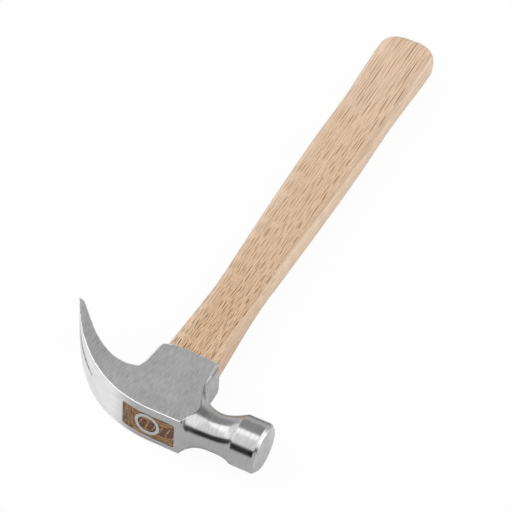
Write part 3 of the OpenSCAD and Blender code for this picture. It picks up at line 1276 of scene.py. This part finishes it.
    def build(self, place: Place) -> bpy.types.Object:
        """Makes the head's piece.

        Args:
            place: Where the eye's middle on the crown is.

        Returns:
            The dressed head, riding on the root.
        """
        pitch = self.pitch
        low = (-self.claw_reach - self.claw_room[0], -self.claw_room[1], -self.claw_room[2])
        high = (self.face_reach + self.face_room[0], self.claw_drop + self.face_room[1], self.face_room[2])
        head = Skin.around(self.field, (low, high), (pitch,) * 3).piece("forged_head", place)
        head.data.materials.append(HeadSteel().material(place))
        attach(head, "root")
        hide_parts("hammer_head")
        return head


@dataclass
class Fastening:
    """The wood in the eye, the wooden wedge and the ring wedge."""

    head: HammerHead
    wedge_thick: float = 5.2
    wedge_thin: float = 1.2
    wedge_deep: float = 24.0
    wedge_off: float = -0.8
    ring_r: float = 5.7
    ring_hole: float = 4.15
    ring_deep: float = 12.0
    ring_thin: float = 0.7
    ring_straight: float = 0.5
    ring_over: float = 3.0
    ring_off: Span = (-0.45, -0.4)
    gap: float = 0.06
    edge: float = 0.15
    sunk: float = 0.2
    # Boxes around the pieces, and the size of their meshes
    tenon_box: Box = ((-13.2, -0.8, -8.6), (12.4, 35.6, 7.0))
    tenon_pitch: Point = (0.3, 0.5, 0.3)
    wedge_box: Box = ((-13.2, -0.8, -4.2), (12.4, 24.8, 2.6))
    wedge_pitch: Point = (0.3, 0.4, 0.3)
    ring_box: Box = ((-6.9, -0.8, -6.9), (6.1, 12.8, 6.1))
    ring_pitch: Point = (0.25, 0.25, 0.25)

    def wedge_slab(self, y: Array, z: Array) -> Array:
        """Distance to the wooden wedge's two slanting faces and its thin end.

        Args:
            y: Places below the crown.
            z: Places towards the near cheek.

        Returns:
            The distance at each place, negative inside.
        """
        lean = (self.wedge_thick - self.wedge_thin) / 2 / self.wedge_deep
        faces = (np.abs(z - self.wedge_off) - self.wedge_thick / 2 + lean * y) / math.hypot(1, lean)
        return np.maximum(faces, y - self.wedge_deep)

    def tube(self, x: Array, y: Array, z: Array) -> Array:
        """Distance to the ring wedge, which stands over the crown before it is ground.

        Args:
            x: Places towards the face.
            y: Places below the crown.
            z: Places towards the near cheek.

        Returns:
            The distance at each place, negative inside.
        """
        away = np.hypot(x - self.ring_off[0], z - self.ring_off[1])
        outline = np.array([
            (self.ring_hole, -self.ring_over),
            (self.ring_r, -self.ring_over),
            (self.ring_r, self.ring_straight),
            (self.ring_hole + self.ring_thin, self.ring_deep),
            (self.ring_hole, self.ring_deep),
        ])
        return depth(outline, away, y)

    def in_eye(self, x: Array, y: Array, z: Array, sunk: float) -> Array:
        """Distance to what fills the eye up to a little below the crown."""
        return both(self.head.eye(x, y, z, self.gap), self.head.under_crown(x, y) + sunk, self.edge)

    def tenon(self, x: Array, y: Array, z: Array) -> Array:
        """Distance to the handle's wood in the eye.

        Args:
            x: Places towards the face.
            y: Places below the crown.
            z: Places towards the near cheek.

        Returns:
            The distance at each place, negative inside.
        """
        wood = both(self.in_eye(x, y, z, self.sunk), y - self.head.body_tall - self.gap, self.edge)
        wood = both(wood, self.gap - self.wedge_slab(y, z), self.edge)
        return both(wood, self.gap - self.tube(x, y, z), self.edge)

    def wedge(self, x: Array, y: Array, z: Array) -> Array:
        """Distance to the wooden wedge."""
        wood = both(self.in_eye(x, y, z, self.sunk), self.wedge_slab(y, z), self.edge)
        return both(wood, self.gap - self.tube(x, y, z), self.edge)

    def ring(self, x: Array, y: Array, z: Array) -> Array:
        """Distance to the ring wedge, ground level with the crown."""
        return both(self.tube(x, y, z), self.head.under_crown(x, y), self.edge)

    def tenon_skin(self) -> Skin:
        """The skin of the handle's wood in the eye."""
        return Skin.around(self.tenon, self.tenon_box, self.tenon_pitch)

    def build(self, place: Place) -> list[bpy.types.Object]:
        """Makes the two wedges.

        Args:
            place: Where the eye's middle on the crown is.

        Returns:
            The dressed wedges, riding on the root.
        """
        dark = EndGrain(
            name="wedge_wood",
            light=tone("745240"),
            dark=tone("573B2E"),
            ray=tone("CB9C74"),
            left_light=tone("91704F"),
            left_dark=tone("5F4532"),
            slant=math.radians(70),
            grain_slant=math.radians(20),
            ray_strength=0.9,
        )
        wedge = Skin.around(self.wedge, self.wedge_box, self.wedge_pitch).piece("dark_wedge", place)
        wedge.data.materials.append(dark.material(place))
        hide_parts("wood_wedge")
        ring = Skin.around(self.ring, self.ring_box, self.ring_pitch).piece("tube_wedge", place)
        ring.data.materials.append(RingSteel().material(place))
        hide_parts("ring_wedge")
        for made in (wedge, ring):
            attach(made, "root")
        return [wedge, ring]


@dataclass
class Handle:
    """The beech handle. Sizes are in millimetres from the eye's middle on the crown.

    A pair is a width and a thickness where its name ends in size.
    """

    fastening: Fastening
    start: float = 34.55
    end: float = 263.5
    shoulder_size: Span = (23.7, 16.1)
    waist_size: Span = (21.2, 14.4)
    swell_size: Span = (25.9, 17.6)
    hollow_size: Span = (25.6, 17.4)
    flare_size: Span = (27.7, 18.8)
    # Where those sizes are, as shares of the length, and how far the waist has swollen between
    waist_at: float = 0.188
    early_rise: Span = (0.295, 0.29)
    late_rise: Span = (0.445, 0.71)
    swell_at: float = 0.62
    hollow_at: float = 0.77
    flare_at: float = 0.92
    # The butt's rounding and how square the section is
    butt_round: float = 10.0
    butt_turn: float = 88.5
    shoulder_square: float = 4.0
    grip_square: float = 2.9
    # How far the neck leans towards the poll, and where it is straight again
    hang: float = 0.55
    straight_by: float = 190.0
    # The mesh
    rings: int = 240
    butt_rings: int = 27
    around: int = 112

    def marks(self) -> Array:
        """Where the handle's width and thickness are set.

        Returns:
            Rows of place along the handle, half width and half thickness.
        """
        waist, swell, flare = (np.array(s) for s in (self.waist_size, self.swell_size, self.flare_size))
        rows = [
            (0.0, np.array(self.shoulder_size)),
            (self.waist_at, waist),
            *((share, waist + part * (swell - waist)) for share, part in (self.early_rise, self.late_rise)),
            (self.swell_at, swell),
            (self.hollow_at, np.array(self.hollow_size)),
            (self.flare_at, flare),
            (1.0, flare),
        ]
        return np.array([(self.start + share * (self.end - self.start), *size / 2) for share, size in rows])

    def halves(self, y: Array) -> Array:
        """Half width and half thickness along the handle.

        Args:
            y: Places along the handle.

        Returns:
            One row of two halves for each place.
        """
        marks = self.marks()
        at, half = marks[:, 0], marks[:, 1:]
        before = np.maximum(np.arange(len(at)) - 1, 0)
        after = np.minimum(np.arange(len(at)) + 1, len(at) - 1)
        slope = (half[after] - half[before]) / (at[after] - at[before])[:, None]
        k = np.clip(np.searchsorted(at, y, "right") - 1, 0, len(at) - 2)
        d = (at[k + 1] - at[k])[:, None]
        t = np.clip((y - at[k])[:, None] / d, 0, 1)
        s = 1 - t
        size = s * s * (1 + 2 * t) * half[k] + t * t * (3 - 2 * t) * half[k + 1]
        size += s * s * t * d * slope[k] - t * t * s * d * slope[k + 1]
        butt = np.clip((y - self.end + self.butt_round) / self.butt_round, 0, 1)
        return size * np.sqrt(1 - butt**2)[:, None]

    def grip(self) -> Skin:
        """The skin of the handle outside the head.

        Returns:
            The skin, closed at both ends.
        """
        round_from = self.end - self.butt_round
        turn = np.radians(np.linspace(0, self.butt_turn, self.butt_rings + 1)[1:])
        y = np.concatenate([
            np.linspace(self.start, round_from, self.rings),
            round_from + self.butt_round * np.sin(turn),
        ])
        half = self.halves(y)
        waist_y = self.marks()[1, 0]
        blend = ease((y - self.start) / (waist_y - self.start))
        power = 2 / (self.shoulder_square + (self.grip_square - self.shoulder_square) * blend)
        a = 2 * np.pi * np.arange(self.around) / self.around
        s, c = np.sin(a)[None, :], np.cos(a)[None, :]
        wide = half[:, :1] * np.sign(s) * np.abs(s) ** power[:, None]
        thick = half[:, 1:] * np.sign(c) * np.abs(c) ** power[:, None]
        wide += self.hang * np.clip((self.straight_by - y) / (self.straight_by - self.start), 0, 1)[:, None]
        return Skin.over(np.stack([wide, np.repeat(y[:, None], self.around, 1), thick], -1))

    def build(self, place: Place) -> bpy.types.Object:
        """Makes the handle's piece, with its tenon.

        Args:
            place: Where the eye's middle on the crown is.

        Returns:
            The dressed handle, riding on the root.
        """
        grip, tenon = self.grip(), self.fastening.tenon_skin()
        points = np.concatenate([grip.points, tenon.points])
        faces = np.concatenate([grip.faces, tenon.faces + len(grip.points)])
        handle = Skin(points, faces).piece("beech_handle", place)
        end = EndGrain(
            name="beech_end",
            light=tone("A98259"),
            dark=tone("63492F"),
            ray=tone("C29A70"),
            left_light=tone("A17C55"),
            left_dark=tone("5C432C"),
            slant=math.radians(10),
            grain_slant=math.radians(4),
            ray_strength=0.5,
        )
        handle.data.materials.append(Beech().material(place))
        handle.data.materials.append(end.material(place))
        zones = [Zone.SIDE_GRAIN.value] * len(grip.faces) + [Zone.END_GRAIN.value] * len(tenon.faces)
        handle.data.polygons.foreach_set("material_index", zones)
        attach(handle, "root")
        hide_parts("handle")
        return handle


@dataclass
class Studio:
    """A pale floor, a wide soft light in front and above, and a grey room behind.

    Steel also mirrors a dark card in front, and a paler one on the left that keeps the cheeks from
    turning white. A span is a soft step, over a part of the direction or over how near it is to a way.
    """

    # The light in front, with a gap low on the right
    soft: float = 1.3
    soft_left: float = 2.2
    soft_right: float = 1.7
    left_turn: Span = (-0.55, -0.95)
    right_turn: Span = (0.4, 0.75)
    front_edge: Span = (0.24, 0.12)
    gap_front: Span = (-0.62, -0.5)
    gap_back: Span = (-0.1, -0.18)
    gap_left: Span = (0.2, 0.4)
    gap_top: Span = (0.21, 0.14)
    # The room behind, paler at the horizon and dimmer in one place
    room: float = 0.5
    horizon: float = 1.0
    horizon_edge: Span = (0.6, 0.0)
    dim: float = 0.35
    dim_way: Point = (0.454, 0.542, 0.707)
    dim_edge: Span = (0.86, 0.97)
    # A low lamp on the right and the pale card on the left
    low_lamp: float = 2.2
    low_lamp_way: Point = (0.903, 0.365, 0.225)
    low_lamp_edge: Span = (0.9, 0.95)
    pale_card: float = 1.45
    pale_card_way: Point = (-0.97, 0.0, 0.24)
    pale_card_edge: Span = (0.8, 0.9)
    # The floor and the dark card, in metres
    floor_size: float = 6.0
    floor_below: float = 0.1 * MM
    floor_white: float = 0.72
    glow_seen: float = 0.95
    glow_mirrored: float = 0.15
    card_black: float = 0.012
    card_away: float = 2.0
    card_left: float = -4.5
    card_right: float = 3.2
    card_high: float = 1.1

    def sheet(self, name: str, corners: Sequence[Point], material: bpy.types.Material) -> bpy.types.Object:
        """One flat sheet of the studio.

        Args:
            name: The object's name.
            corners: Its four corners, in metres.
            material: Its finish.

        Returns:
            The sheet.
        """
        mesh = bpy.data.meshes.new(name)
        mesh.from_pydata(corners, [], [(0, 1, 2, 3)])
        mesh.materials.append(material)
        made = bpy.data.objects.new(name, mesh)
        bpy.context.scene.collection.objects.link(made)
        return made

    def floor(self) -> None:
        """The pale floor: white to the eye and in steel, with the part's soft shadow."""
        made, b = new_material("floor_white")
        path = b.add("ShaderNodeLightPath").socket.node
        seen, gloss, through = (
            Wire(b, path.outputs[k]) for k in ("Is Camera Ray", "Is Glossy Ray", "Is Transmission Ray")
        )
        glow = b.greater(seen * self.glow_seen, (gloss + through) * self.glow_mirrored)
        matt = b.add("ShaderNodeBsdfDiffuse", None, {"Color": (self.floor_white,) * 3 + (1.0,)})
        white = b.add("ShaderNodeEmission", None, {"Color": (1.0,) * 4, "Strength": 1.0})
        mixed = b.add("ShaderNodeMixShader", None, {0: glow, 1: matt, 2: white})
        b.add("ShaderNodeOutputMaterial", None, {"Surface": mixed})
        s, z = self.floor_size, -self.floor_below
        self.sheet("floor", [(-s, -s, z), (s, -s, z), (s, s, z), (-s, s, z)], made)

    def card(self) -> None:
        """A dark card in front, which the polished steel shows as a dark band."""
        made, b = new_material("card_black")
        matt = b.add("ShaderNodeBsdfDiffuse", None, {"Color": (self.card_black,) * 3 + (1.0,)})
        b.add("ShaderNodeOutputMaterial", None, {"Surface": matt})
        y, left, right, high = -self.card_away, self.card_left, self.card_right, self.card_high
        card = self.sheet("dark_card", [(left, y, 0), (right, y, 0), (right, y, high), (left, y, high)], made)
        card.visible_camera = False

    def sky(self) -> None:
        """The world: bright in front and above, grey behind, with the pale card in mirrors only."""
        world = bpy.data.worlds.new("studio")
        bpy.context.scene.world = world
        world.use_nodes = True
        b = Bench(world.node_tree)
        way = b.add("ShaderNodeTexCoord", None, None, "Generated")
        x, y, z = b.parts(way)
        turn = x / b.maths("SQRT", x * x + y * y + TINY)
        soft = self.soft + (self.soft_left - self.soft) * b.step(turn, *self.left_turn)
        soft = soft + (self.soft_right - self.soft) * b.step(turn, *self.right_turn)
        gap = b.step(y, *self.gap_front) * b.step(y, *self.gap_back)
        gap = gap * b.step(x, *self.gap_left) * b.step(z, *self.gap_top)
        room = between((self.room, self.horizon), b.step(z, *self.horizon_edge))
        dim = b.step(b.dot(way, self.dim_way), *self.dim_edge)
        front = b.step(y, *self.front_edge)
        level = front * soft * (1 - gap) + (1 - front) * room * (1 - dim * self.dim)
        lamp = b.step(b.dot(way, self.low_lamp_way), *self.low_lamp_edge)
        level = level + (self.low_lamp - level) * lamp
        glossy = b.add("ShaderNodeLightPath", None, None, "Is Glossy Ray")
        card = b.step(b.dot(way, self.pale_card_way), *self.pale_card_edge) * glossy
        level = level + (self.pale_card - level) * card
        shade = b.add("ShaderNodeBackground", None, {"Color": b.join(level, level, level), "Strength": 1.0})
        b.add("ShaderNodeOutputWorld", None, {"Surface": shade})

    def build(self) -> None:
        """Sets up the floor, the dark card and the world."""
        self.floor()
        self.card()
        self.sky()


@dataclass(frozen=True)
class PhotoCamera:
    """The camera at the photograph's place. Places are in metres."""

    lens: float = 140.6
    sensor: float = 36.0
    at: Point = (0.23434, -0.57106, 0.62797)
    right: Point = (0.8927, 0.4475, 0.0540)
    back: Point = (0.2746, -0.6349, 0.7221)

    def build(self) -> None:
        """Makes the camera and gives it to the scene."""
        data = bpy.data.cameras.new("photo_camera")
        data.lens = self.lens
        data.sensor_width = self.sensor
        made = bpy.data.objects.new("photo_camera", data)
        back = np.array(self.back) / np.linalg.norm(self.back)
        up = np.cross(back, self.right)
        up /= np.linalg.norm(up)
        grid = np.eye(4)
        grid[:3, :3] = np.stack([np.cross(up, back), up, back], 1)
        grid[:3, 3] = self.at
        made.matrix_world = Matrix(grid.tolist())
        bpy.context.scene.collection.objects.link(made)
        bpy.context.scene.camera = made


def main() -> None:
    """Builds the hammer and its studio, and reports each piece."""
    logging.basicConfig(level=logging.INFO, format="%(message)s")
    bpy.context.scene.view_settings.view_transform = "Standard"
    place = Place.read()
    PhotoCamera().build()
    Studio().build()
    head = HammerHead()
    fastening = Fastening(head)
    pieces = [head.build(place), Handle(fastening).build(place), *fastening.build(place)]
    for piece in pieces:
        log.info("%s: %d faces", piece.name, len(piece.data.polygons))


if __name__ == "__main__":
    main()
